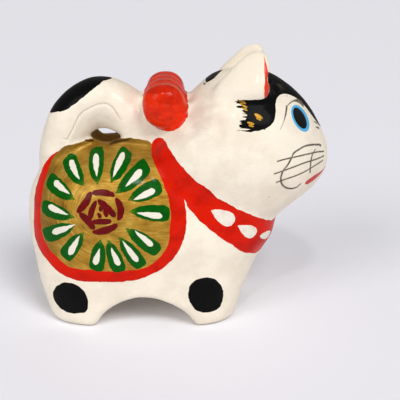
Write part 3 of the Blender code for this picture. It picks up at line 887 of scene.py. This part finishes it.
class PAPERDOG_OT_paint(bpy.types.Operator):
    """Paint the shell: cloth, flower, collar, bow, patches and face"""

    bl_idname = "paperdog.paint"
    bl_label = "Paint"

    def execute(self, context):
        shell = bpy.data.objects["gessoed_shell"]
        self.colours = context.scene.paper_dog_paint
        self.tracing = Tracing(shell)
        material = bpy.data.materials.new("painted gesso")
        self.graph = Graph(material)
        graph = self.graph
        objects = graph.node("ShaderNodeTexCoord", {}, {}, output=3)
        self.place = graph.vector_math("MULTIPLY", objects, (MM, MM, MM))
        self.y = abs(graph.node("ShaderNodeSeparateXYZ", {}, {0: self.place}, 1))
        self.flank = Flank(graph, self.hand_painted(self.place))
        self.steady = Flank(graph, self.place)
        across = graph.node("ShaderNodeCombineXYZ", {}, {0: self.y, 2: self.steady.z})
        self.front = Flank(graph, across)
        self.finish = self.gesso()
        self.red_cloth_and_collar()
        self.gold_cloth()
        self.flower()
        self.hole_floor()
        self.collar_petals()
        self.black_patches()
        self.face()
        self.ears()
        self.bow()
        self.soles()
        self.close()
        shell.data.materials.clear()
        shell.data.materials.append(material)
        return {"FINISHED"}

    def strokes(self, flank, marks, profile):
        """The insides of brush strokes, each given by its ends, half width and bow in pixels."""
        insides = []
        for start, end, half_width, bow in marks:
            start, end = self.tracing.places((start, end))
            inside, _ = flank.leaf(start, end, half_width * PIXEL_MM, profile, bow * PIXEL_MM)
            insides.append(inside)
        return insides

    def hand_painted(self, place):
        """The place, shifted by a fraction of a millimetre, so that edges wander as a brush does."""
        graph = self.graph
        sockets = {"Vector": place, "Scale": WANDER_SCALE, "Detail": 1.0}
        wander = graph.node("ShaderNodeTexNoise", {}, sockets, output=1)
        wander = graph.vector_math("SUBTRACT", wander, (0.5, 0.5, 0.5))
        return graph.vector_math("MULTIPLY_ADD", wander, (WANDER_MM, 0.0, WANDER_MM), place)

    def cells(self, scale):
        """Distance from the nearest of many scattered spots. The scale is the spots to a millimetre."""
        return self.graph.node("ShaderNodeTexVoronoi", {}, {"Vector": self.place, "Scale": scale})

    def gesso(self):
        graph = self.graph
        colours = self.colours
        cloudy = graph.step(graph.noise(self.place, CLOUDS, 4.0, 0.6), 0.38, 0.68)
        colour = graph.mix(cloudy * 0.55, colours.gesso, colours.greyer_gesso_and_shade)
        stain = self.flank.patch(self.tracing.place(STAIN_MIDDLE), self.tracing.places(STAIN))
        stained = graph.step(stain, *STAIN_FADE_MM)
        stained = stained * graph.step(graph.noise(self.place, STAIN_CLOUDS, 3.0), 0.3, 0.7)
        colour = graph.mix(stained * 0.7, colour, colours.stain)
        grain = graph.noise(self.place, GRAIN, 4.0, 0.6)
        colour = graph.mix(graph.step(grain, 0.52, 0.8) * 0.3, colour, colours.greyer_gesso_and_shade)
        speck_spots = self.cells(SPECK_SCALE)
        speck_choice = graph.noise(self.place, SPECK_CLOUDS, 0.0)
        specks = graph.step(speck_spots, 0.062, 0.035) * graph.step(speck_choice, 0.52, 0.56)
        colour = graph.mix(specks * 0.7, colour, colours.line)
        layer = self.flank.above(self.tracing.places(TAIL_LAYER))
        rear, front = LAYER_REACH_MM
        faded = graph.step(self.flank.x, rear, rear + LAYER_FADE_MM[0])
        faded = faded * graph.step(self.flank.x, front, front - LAYER_FADE_MM[1])
        faded = faded * graph.step(self.y, *LAYER_GAP_MM)
        # Painted shadow and shade: a thin dark line just above the layer's edge, and greyer white in a
        # band above it
        seam = graph.step(abs(layer - LAYER_SHADOW_LINE_HEIGHT), *LAYER_SHADOW_LINE_FADE) * faded
        colour = graph.mix(seam * 0.22, colour, colours.line)
        shaded = graph.step(layer, *LAYER_SHADE_TOP) * graph.step(layer, *LAYER_SHADE_FOOT) * faded
        colour = graph.mix(shaded * 0.4, colour, colours.greyer_gesso_and_shade)
        finish = Finish(graph, colour, GESSO_ROUGHNESS)
        below = graph.step(layer, *LAYER_STEP_TOP) * graph.step(layer, *LAYER_STEP_FOOT) * faded
        finish.raise_by(below * LAYER_RELIEF)
        finish.coat = graph.blend(cloudy, 0.22, 0.08)
        brushed = graph.noise(self.place, BRUSH_MARKS, 3.0, 0.6)
        relief = brushed * BRUSH_RELIEF + grain * GRAIN_RELIEF - specks * SPECK_RELIEF
        finish.raise_by(relief)
        return finish

    def red_paint(self, vermilion):
        """Vermilion that pools darker in places."""
        pooled = self.graph.step(self.graph.noise(self.place, RED_POOLS, 4.0), 0.44, 0.68)
        return self.graph.mix(pooled * 0.5, vermilion, self.colours.deep_red)

    def red_cloth_and_collar(self):
        flank = self.flank
        tracing = self.tracing
        border = flank.patch(tracing.place(FLOWER_MIDDLE), tracing.places(CLOTH_BORDER))
        top = flank.above(tracing.places(COLLAR_TOP))
        foot = flank.above(tracing.places(COLLAR_FOOT))
        behind = tracing.place(COLLAR_TOP[0])[0]
        collar = self.graph.math("MINIMUM", foot, -1.0 * top)
        collar = self.graph.math("MINIMUM", collar, flank.x - behind)
        red = flank.mask(flank.union([border, collar]))
        # Painted shade: deeper red towards the border's foot
        low = self.graph.step(flank.z, *BORDER_FOOT_SHADE_HEIGHTS)
        colour = self.red_paint(self.colours.vermilion)
        colour = self.graph.mix(low * 0.6, colour, self.colours.deep_red)
        self.finish.lay(red, colour, **RED_FINISH)

    def gold_cloth(self):
        graph = self.graph
        flank = self.flank
        colours = self.colours
        middle = self.tracing.place(FLOWER_MIDDLE)
        cloth = flank.patch(middle, self.tracing.places(CLOTH) + list(CLOTH_TOP_MM))
        offset = graph.vector_math("SUBTRACT", flank.place, (middle[0], 0.0, middle[1]))
        ring = graph.vector_math("LENGTH", offset)
        turn = graph.math("ARCTAN2", flank.z - middle[1], flank.x - middle[0])
        sockets = {0: ring * ARC_WAVES, 1: turn * ARC_TURNS, 2: ARC_LEVEL}
        arcs = graph.node("ShaderNodeCombineXYZ", {}, sockets)
        arcs = graph.node("ShaderNodeTexNoise", {}, {"Vector": arcs, "Scale": 1.0, "Detail": 3.0})
        sweep = graph.noise(flank.place, GOLD_SWEEPS, 4.0, 0.6)
        rear, front = (middle[0] + reach for reach in GOLD_SWEEP_REACH)
        sweep = graph.blend(graph.step(flank.x, rear, front), arcs, sweep)
        broad = graph.noise(flank.place, GOLD_BANDS, 2.0)
        streaks = sweep * 0.5 + broad * 0.5
        colour = graph.mix(graph.step(streaks, 0.3, 0.52), colours.gold_dark, colours.gold)
        colour = graph.mix(graph.step(streaks, 0.48, 0.72), colour, colours.gold_light)
        # Painted shade: darker gold towards the cloth's top and its rear
        top_shade = graph.step(flank.z, *GOLD_TOP_SHADE_HEIGHTS) * 0.36
        start, end = (middle[0] + reach for reach in GOLD_REAR_SHADE_REACH)
        rear_shade = graph.step(flank.x, start, end) * 0.55
        colour = graph.mix(top_shade + rear_shade, colour, colours.gold_dark)
        self.finish.lay(flank.mask(cloth), colour, **GOLD_FINISH)
        self.finish.raise_by(flank.mask(cloth) * sweep * STREAK_RELIEF)
        # Painted shadow: dark strokes in the corners beside the hole
        hole_shadow = flank.union(self.strokes(flank, HOLE_CORNER_SHADOWS, STROKE_PROFILE))
        hole_shadow = graph.math("MINIMUM", hole_shadow, self.y - HOLE_SHADOW_GAP_MM)
        self.finish.lay(flank.mask(hole_shadow, SOFT_EDGE_MM), colours.hole_shadow, **HOLE_SHADOW_FINISH)

    def flower(self):
        graph = self.graph
        flank = self.flank
        colours = self.colours
        greens = []
        tips = []
        cores = []
        bristles = graph.noise(self.place, PETAL_BRISTLES, 2.0)
        for outer, inner, core_outer, core_inner in FLOWER_PETALS:
            inner, outer = self.tracing.places((inner, outer))
            petal, share = flank.leaf(inner, outer, PETAL_HALF_WIDTH * PIXEL_MM, PETAL_PROFILE)
            dry = graph.step(share, *DRY_SHARES)
            greens.append(petal - dry * bristles * DRY_BITE_MM)
            tips.append(graph.math("MINIMUM", petal, dry))
            inner, outer = self.tracing.places((core_inner, core_outer))
            core, _ = flank.leaf(inner, outer, CORE_HALF_WIDTH * PIXEL_MM, CORE_PROFILE)
            cores.append(core)
        green = flank.mask(flank.union(greens))
        tip = graph.step(flank.union(tips), 0.1, 0.9) * graph.step(bristles, 0.35, 0.6)
        shade = graph.step(graph.noise(self.place, PETAL_SHADES, 3.0), 0.3, 0.75)
        colour = graph.mix(shade * 0.45, colours.green, colours.green_shade)
        colour = graph.mix(tip, colour, colours.green_light)
        self.finish.lay(green, colour, **PETAL_FINISH)
        white = flank.mask(flank.union(cores))
        self.finish.lay(white, colours.core, **CORE_FINISH)
        rose = self.strokes(flank, ROSE_STROKES, STROKE_PROFILE)
        rose += self.strokes(flank, ROSE_SEEDS, DROP_PROFILE)
        colour = graph.mix(shade, colours.rose, colours.rose_shade)
        self.finish.lay(flank.mask(flank.union(rose)), colour, **ROSE_FINISH)

    def hole_floor(self):
        """Gold on the back under the tail, which shows through the hole."""
        graph = self.graph
        flank = self.flank
        floor = graph.math("MINIMUM", flank.x - HOLE_FLOOR_ENDS[0], HOLE_FLOOR_ENDS[1] - flank.x)
        floor = graph.math("MINIMUM", floor, HOLE_FLOOR_HALF_WIDTH - self.y)
        floor = graph.math("MINIMUM", floor, flank.z - HOLE_FLOOR_HEIGHTS[0])
        floor = graph.math("MINIMUM", floor, HOLE_FLOOR_HEIGHTS[1] - flank.z)
        self.finish.lay(flank.mask(floor, SOFT_EDGE_MM), self.colours.gold, **HOLE_FLOOR_FINISH)

    def collar_petals(self):
        petals = self.strokes(self.flank, COLLAR_PETALS, DROP_PROFILE)
        tint = self.graph.step(self.graph.noise(self.place, COLLAR_TINTS, 2.0), 0.4, 0.7)
        colour = self.graph.mix(tint * 0.5, self.colours.core, self.colours.petal_tint)
        mask = self.flank.mask(self.flank.union(petals))
        self.finish.lay(mask, colour, **COLLAR_PETAL_FINISH)

    def black_patches(self):
        graph = self.graph
        flank = self.flank
        tracing = self.tracing
        colours = self.colours
        patch = tracing.places(TAIL_PATCH)
        front = patch[-1][0]
        rise = (front + TAIL_PATCH_RISE_MM[0], patch[-1][1] + TAIL_PATCH_RISE_MM[1])
        tail = flank.above(patch + [rise])
        tail = graph.math("MINIMUM", tail, front + TAIL_PATCH_FRONT_MM - flank.x)
        hind = flank.patch(tracing.place(HIND_SPOT_MIDDLE), tracing.places(HIND_SPOT))
        fore = flank.patch(tracing.place(FRONT_SPOT_MIDDLE), tracing.places(FRONT_SPOT))
        crown = self.front.above(BROW_EDGE_MM)
        narrow = graph.step(flank.x, *CROWN_STRIP_WAIST[0]) - graph.step(flank.x, *CROWN_STRIP_WAIST[1])
        narrow = narrow * CROWN_STRIP_NARROWING
        strip = CROWN_STRIP_HALF_WIDTH - narrow - self.y
        strip = graph.math("MINIMUM", strip, flank.z - CROWN_STRIP_FOOT)
        strip = graph.math("MINIMUM", strip, flank.x - CROWN_STRIP_REAR)
        wander = graph.noise(self.place, STRIP_WAVES, 2.0) * CROWN_STRIP_WANDER
        strip = strip + wander - CROWN_STRIP_WANDER / 2.0
        crown = graph.math("MINIMUM", crown, flank.x - CROWN_REAR_MM)
        lobe = flank.patch(tracing.place(CHEEK_LOBE_MIDDLE), tracing.places(CHEEK_LOBE))
        bristles = graph.noise(flank.place, CHEEK_BRISTLES, 2.0, 0.6)
        behind = tracing.place(CHEEK_LOBE_MIDDLE)[0]
        start, end = (behind - reach for reach in CHEEK_FEATHER_REACH)
        feather = graph.step(flank.x, start, end)
        lobe = lobe + feather * (bristles - 0.5) * CHEEK_FEATHER_LENGTH
        nape_feather = graph.step(flank.x, CROWN_STRIP_REAR + NAPE_FEATHER_LENGTH, CROWN_STRIP_REAR)
        strip = strip + nape_feather * (bristles - 0.62) * NAPE_FEATHER_LENGTH
        cap = flank.mask(flank.union([crown, strip, lobe]))
        black = flank.mask(flank.union([tail, hind, fore]))
        # Painted sheen and wear: grey-brown blotches over the top of the black cap
        wear_and_sheen = graph.step(graph.noise(self.place, WEAR_AND_SHEEN_CLOUDS, 4.0, 0.6), 0.44, 0.74)
        wear_and_sheen = wear_and_sheen * graph.step(flank.z, *WEAR_AND_SHEEN_HEIGHTS)
        colour = graph.mix(wear_and_sheen * 0.85, colours.black, colours.worn_black_and_sheen)
        self.finish.lay(cap, colour, **CROWN_FINISH)
        self.finish.lay(black, colours.black, **PATCH_FINISH)
        touches = self.strokes(flank, GOLD_TOUCHES, STROKE_PROFILE)
        broken = graph.step(graph.noise(flank.place, GOLD_BREAKS, 2.0, 0.6), 0.36, 0.46)
        touched = flank.mask(flank.union(touches)) * broken
        self.finish.lay(touched, colours.gold, **TOUCH_FINISH)

    def face(self):
        graph = self.graph
        flank = self.steady
        tracing = self.tracing
        colours = self.colours
        half_width = LINE_HALF_WIDTH * PIXEL_MM
        lines = [flank.line(tracing.places(line), half_width) for line in WHISKERS]
        for tick in BRIDGE_TICKS:
            start, end = (tracing.front_place(pixel) for pixel in tick)
            stroke, _ = self.front.leaf(start, end, TICK_HALF_WIDTH * PIXEL_MM, STROKE_PROFILE)
            lines.append(graph.math("MINIMUM", stroke, flank.x - TICK_REAR_MM))
        lines.append(flank.line(tracing.places(WHISKER_CROSSING), half_width, upright=True))
        loop = tracing.places(MUZZLE_LOOP)
        around = flank.patch(tracing.place(MUZZLE_LOOP_MIDDLE), loop)
        chord = (loop[-1][0] - loop[0][0], loop[-1][1] - loop[0][1])
        span = math.hypot(*chord)
        behind = flank.along((chord[1] / span, -chord[0] / span), loop[0])
        around = LOOP_HALF_WIDTH * PIXEL_MM - abs(around)
        lines.append(graph.math("MINIMUM", around, behind))
        lines += self.strokes(flank, EYEBROW, BROW_PROFILE)
        drawn = graph.math("MINIMUM", flank.union(lines), self.y - FACE_LINE_GAP_MM)
        faint = graph.step(graph.noise(self.place, FAINT_INK, 1.0), 0.25, 0.6)
        inked = flank.mask(drawn, INK_SOFTNESS_MM) * (0.8 + faint * 0.2)
        self.finish.lay(inked, colours.line, **INK_FINISH)
        eye = flank.oval(*tracing.places(EYE))
        self.finish.lay(flank.mask(eye), colours.eye, **EYE_FINISH)
        pupil = flank.oval(*tracing.places(PUPIL))
        self.finish.lay(flank.mask(pupil), colours.black, **PUPIL_FINISH)
        start, end = tracing.places(MOUTH)
        further = 1.0 + MOUTH_REACH_MM / math.dist(start, end)
        end = tuple(first + (last - first) * further for first, last in zip(start, end))
        mouth, _ = flank.leaf(start, end, MOUTH_HALF_WIDTH * PIXEL_MM, MOUTH_PROFILE)
        nose_high, nose_low = tracing.places(NOSE_ENDS)
        nose_middle = (nose_high[1] + nose_low[1]) / 2.0
        nose_half = (nose_high[1] - nose_low[1]) / 2.0 + NOSE_MARGIN_MM
        across = self.y / NOSE_HALF_WIDTH_MM
        up = (flank.z - nose_middle) / nose_half
        nose = 1.0 - graph.math("SQRT", across * across + up * up)
        nose = graph.math("MINIMUM", nose * nose_half, flank.x - (nose_low[0] - NOSE_DEPTH_MM))
        red = flank.mask(flank.union([mouth, nose]))
        self.finish.lay(red, colours.crimson, **MOUTH_FINISH)

    def ears(self):
        """White over the ears, which stand off the crown, and red in their hollows."""
        graph = self.graph
        flank = self.flank
        low = min(reach for _, reach in CROWN_HALF_HEIGHT)
        high = max(reach for _, reach in CROWN_HALF_HEIGHT)
        rear, front = CROWN_HALF_HEIGHT[0][0], CROWN_HALF_HEIGHT[-1][0]
        shares = [((x - rear) / (front - rear), (r - low) / (high - low)) for x, r in CROWN_HALF_HEIGHT]
        share = graph.math("DIVIDE", flank.x - rear, front - rear, clamp=True)
        half_height = graph.curve(share, shares) * (high - low) + low
        rise = graph.math("MAXIMUM", (flank.z - CROWN_MIDDLE_HEIGHT) / half_height, 0.0)
        reach = rise ** CROWN_POWER + (self.y / CROWN_HALF_WIDTH) ** CROWN_POWER
        ear = (reach - 1.0 - EAR_STAND_OFF) * (CROWN_HALF_WIDTH / CROWN_POWER)
        ear = graph.math("MINIMUM", ear, flank.x - EAR_REAR)
        ear = graph.math("MINIMUM", ear, EAR_OUTER_SIDE - self.y)
        ear = graph.math("MINIMUM", ear, self.y - EAR_INNER_SIDE)
        front_edge = (flank.z - EAR_FOOT) * EAR_FRONT_LEAN + EAR_FRONT_AT_FOOT
        ear = graph.math("MINIMUM", ear, front_edge - flank.x)
        ear = flank.mask(graph.math("MINIMUM", ear, flank.z - EAR_FOOT))
        gesso = graph.mix(0.3, self.colours.gesso, self.colours.greyer_gesso_and_shade)
        self.finish.lay(ear, gesso, **EAR_FINISH)
        middle = EAR_MIDDLE - (flank.z - EAR_MIDDLE_HEIGHT) * EAR_MIDDLE_LEAN
        room = EAR_ROOM - (flank.z - EAR_ROOM_HEIGHT) * EAR_ROOM_NARROWING
        room = graph.math("MINIMUM", room, EAR_ROOM_MOST)
        hollow = graph.math("MINIMUM", room - abs(self.y - middle), flank.x - EAR_HOLLOW_REAR)
        hollow = graph.math("MINIMUM", hollow, flank.z - EAR_HOLLOW_FOOT)
        edge = graph.math("MINIMUM", self.y - middle + EAR_EDGE_INSET, flank.x - EAR_EDGE_PLACE)
        edge_front = (EAR_EDGE_TOP - flank.z) * EAR_EDGE_TAPER + EAR_EDGE_TIP
        edge = graph.math("MINIMUM", edge, edge_front - flank.x)
        pointed = EAR_RED_TOP - flank.z - abs(self.y - middle) * EAR_RED_SLOPE
        hollow = graph.math("MINIMUM", hollow, pointed)
        hollow = graph.math("MINIMUM", flank.union([hollow, edge]), flank.z - EAR_RED_FOOT)
        hollow = flank.mask(hollow, INK_SOFTNESS_MM) * ear
        self.finish.lay(hollow, self.colours.ear_red, **EAR_RED_FINISH)

    def bow(self):
        graph = self.graph
        colours = self.colours
        x, y, z = [graph.node("ShaderNodeSeparateXYZ", {}, {0: self.place}, axis) for axis in range(3)]
        across = x - BOW_AXIS_PLACE[0] + y * BOW_SLANT
        up = z - BOW_AXIS_PLACE[1]
        across = across / BOW_HALF_DEPTH
        reach = graph.math("MULTIPLY_ADD", across, across, (up / BOW_HALF_HEIGHT) ** 2.0)
        reach = (1.0 - graph.math("SQRT", reach)) * BOW_HALF_DEPTH
        wander = graph.noise(self.place, BOW_WAVES, 2.0) - 0.5
        bow = graph.math("MINIMUM", reach, BOW_REACH - self.y) + wander
        smear = self.strokes(self.flank, [BOW_SMEAR], STROKE_PROFILE)
        bow = self.flank.mask(self.flank.union([bow] + smear))
        # Painted highlight: paler lines along the pleats on the bow's upper half
        pleats = graph.math("COSINE", y * (2.0 * math.pi / BOW_PLEAT_LENGTH))
        ridge_highlight = graph.step(pleats, -0.6, -0.95) * graph.step(up, *BOW_HIGHLIGHT_HEIGHTS)
        colour = graph.mix(ridge_highlight * 0.4, self.red_paint(colours.bow_red), colours.bow_highlight)
        self.finish.lay(bow, colour, **BOW_FINISH)
        creases = graph.noise(self.place, BOW_CREASES, 3.0)
        facets = self.cells(BOW_FACET_SCALE)
        self.finish.raise_by(bow * (creases * CREASE_RELIEF - facets * FACET_RELIEF))

    def soles(self):
        """A thin darker line round the feet, just above the ground."""
        line = SOLE_LINE_HALF_WIDTH - abs(self.flank.z - SOLE_LINE_HEIGHT)
        line = self.flank.mask(line, SOLE_SOFTNESS_MM)
        self.finish.lay(line * 0.4, self.colours.line, **SOLE_FINISH)

    def close(self):
        """Joins the finish to the surface shader."""
        graph = self.graph
        sockets = {"Strength": 1.0, "Distance": 1.0 / MM, "Height": self.finish.height}
        bump = graph.node("ShaderNodeBump", {}, sockets)
        surface = graph.node("ShaderNodeBsdfPrincipled", {}, {
            "Base Color": self.finish.colour,
            "Roughness": self.finish.roughness,
            "Metallic": self.finish.metallic,
            "Coat Weight": self.finish.coat,
            "Coat Roughness": COAT_ROUGHNESS,
            "Specular IOR Level": SPECULAR_LEVEL,
            "Normal": bump,
        })
        graph.node("ShaderNodeOutputMaterial", {}, {"Surface": surface})


class PAPERDOG_OT_studio(bpy.types.Operator):
    """Set the pale floor, the soft lights and the camera"""

    bl_idname = "paperdog.studio"
    bl_label = "Studio"

    def execute(self, context):
        studio = context.scene.paper_dog_studio
        self.make_floor(studio)
        self.add_light("key", *KEY_LIGHT, studio.key)
        self.add_light("fill", *FILL_LIGHT, studio.fill)
        self.add_light("glint", *GLINT_LIGHT, studio.glint)
        world = context.scene.world or bpy.data.worlds.new("pale room")
        context.scene.world = world
        world.use_nodes = True
        background = world.node_tree.nodes["Background"]
        background.inputs["Color"].default_value = ROOM_COLOUR
        background.inputs["Strength"].default_value = studio.world
        self.add_camera(context)
        context.scene.view_settings.view_transform = "Standard"
        return {"FINISHED"}

    def make_floor(self, studio):
        deselect_all()
        bpy.ops.mesh.primitive_plane_add(size=FLOOR_SIZE)
        floor = bpy.context.object
        floor.name = "floor"
        material = bpy.data.materials.new("pale floor")
        graph = Graph(material)
        surface = graph.node("ShaderNodeBsdfPrincipled", {}, {
            "Base Color": (*studio.floor, 1.0), "Roughness": FLOOR_ROUGHNESS})
        graph.node("ShaderNodeOutputMaterial", {}, {"Surface": surface})
        floor.data.materials.append(material)

    def add_light(self, name, place, spread, strength):
        """A far light whose spread, in degrees, softens its shadows."""
        deselect_all()
        bpy.ops.object.light_add(type="SUN", location=place)
        light = bpy.context.object
        light.name = name
        light.data.angle = math.radians(spread)
        light.data.energy = strength
        light.rotation_euler = (-Vector(place)).to_track_quat("-Z", "Y").to_euler()

    def add_camera(self, context):
        deselect_all()
        bpy.ops.object.camera_add()
        camera = bpy.context.object
        camera.data.lens = LENS_MM
        camera.data.sensor_width = SENSOR_MM
        camera.matrix_world = camera_matrix()
        context.scene.camera = camera


class PAPERDOG_PT_panel(bpy.types.Panel):
    """Lists the steps that make the dog"""

    bl_idname = "PAPERDOG_PT_panel"
    bl_label = "Paper Dog"
    bl_space_type = "VIEW_3D"
    bl_region_type = "UI"
    bl_category = "Paper Dog"

    def draw(self, context):
        steps = (
            (context.scene.paper_dog_shell, "paperdog.shell"),
            (context.scene.paper_dog_paint, "paperdog.paint"),
            (context.scene.paper_dog_studio, "paperdog.studio"),
        )
        for settings, operator in steps:
            box = self.layout.box()
            for name in settings.__annotations__:
                box.prop(settings, name)
            box.operator(operator)


SETTINGS = (
    ("paper_dog_shell", PaperDogShell),
    ("paper_dog_paint", PaperDogPaint),
    ("paper_dog_studio", PaperDogStudio),
)
CLASSES = (
    PaperDogShell, PaperDogPaint, PaperDogStudio, PAPERDOG_OT_shell, PAPERDOG_OT_paint,
    PAPERDOG_OT_studio, PAPERDOG_PT_panel,
)


def register():
    for kind in CLASSES:
        bpy.utils.register_class(kind)
    for name, kind in SETTINGS:
        setattr(bpy.types.Scene, name, PointerProperty(type=kind))


def unregister():
    for name, _ in SETTINGS:
        delattr(bpy.types.Scene, name)
    for kind in reversed(CLASSES):
        bpy.utils.unregister_class(kind)


def main():
    register()
    bpy.ops.paperdog.shell()
    bpy.ops.paperdog.paint()
    bpy.ops.paperdog.studio()


if __name__ == "__main__":
    main()
